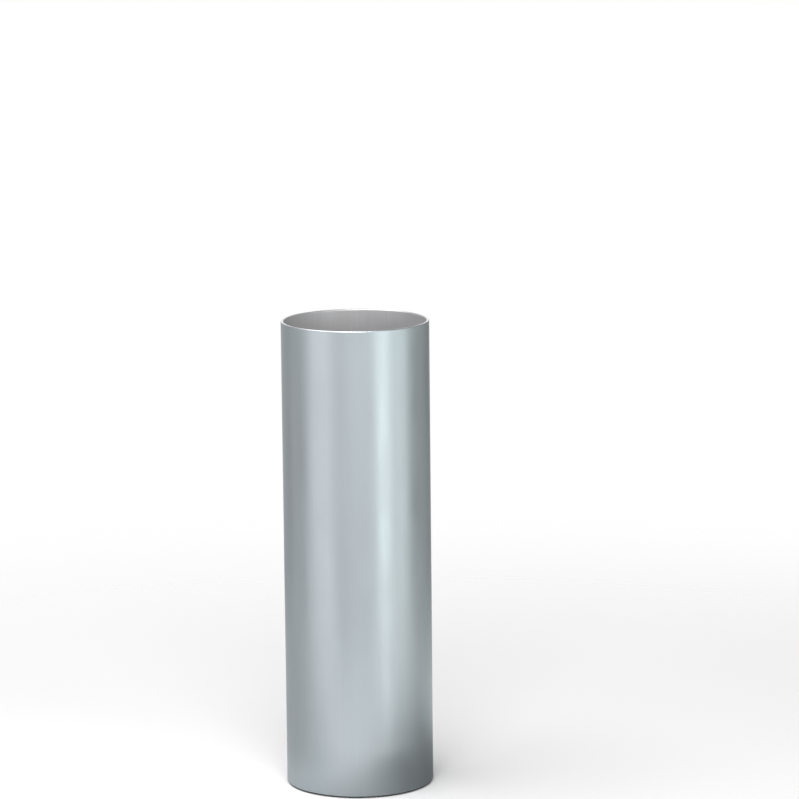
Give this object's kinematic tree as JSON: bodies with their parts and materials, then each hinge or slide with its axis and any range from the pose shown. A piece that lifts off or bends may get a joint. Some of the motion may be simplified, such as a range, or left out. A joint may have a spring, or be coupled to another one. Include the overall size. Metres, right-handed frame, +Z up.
{
  "type": "umbrella stand",
  "caption": "Round floor-standing umbrella stand: a satin metal tube open at the top, on a weighted moulded base, with a drip tray that lifts out through the mouth.",
  "frame": {"origin": "on the floor, in the middle of the base", "axes": "+Z up along the tube; the tabs of the drip tray lie on X; -Y is the front"},
  "size_m": [0.1599, 0.16, 0.51],
  "materials": {
    "anodised_tube": "satin silver anodised, fine lengthwise grain",
    "black_moulding": "fine moulded texture",
    "black_rubber": "matt",
    "zinc_steel": "zinc plated",
    "screw_steel": "bright zinc plated",
    "tray_plastic": "fine moulded texture, dark grey"
  },
  "bodies": {
    "stand": {"tube": "anodised_tube", "base_plug": "black_moulding", "seal_ring": "black_rubber", "ballast_disc": "zinc_steel", "base_cover": "black_moulding", "cover_screw_1": "screw_steel", "cover_screw_2": "screw_steel", "cover_screw_3": "screw_steel", "cover_screw_4": "screw_steel", "foot_1": "black_rubber", "foot_2": "black_rubber", "foot_3": "black_rubber", "foot_4": "black_rubber"},
    "tray": {"drip_tray": "tray_plastic"}
  },
  "joints": [
    {"name": "tray_lift", "type": "slide", "parent": "stand", "child": "tray", "axis": [0, 0, 1], "range_m": [0, 0.5]}
  ]
}
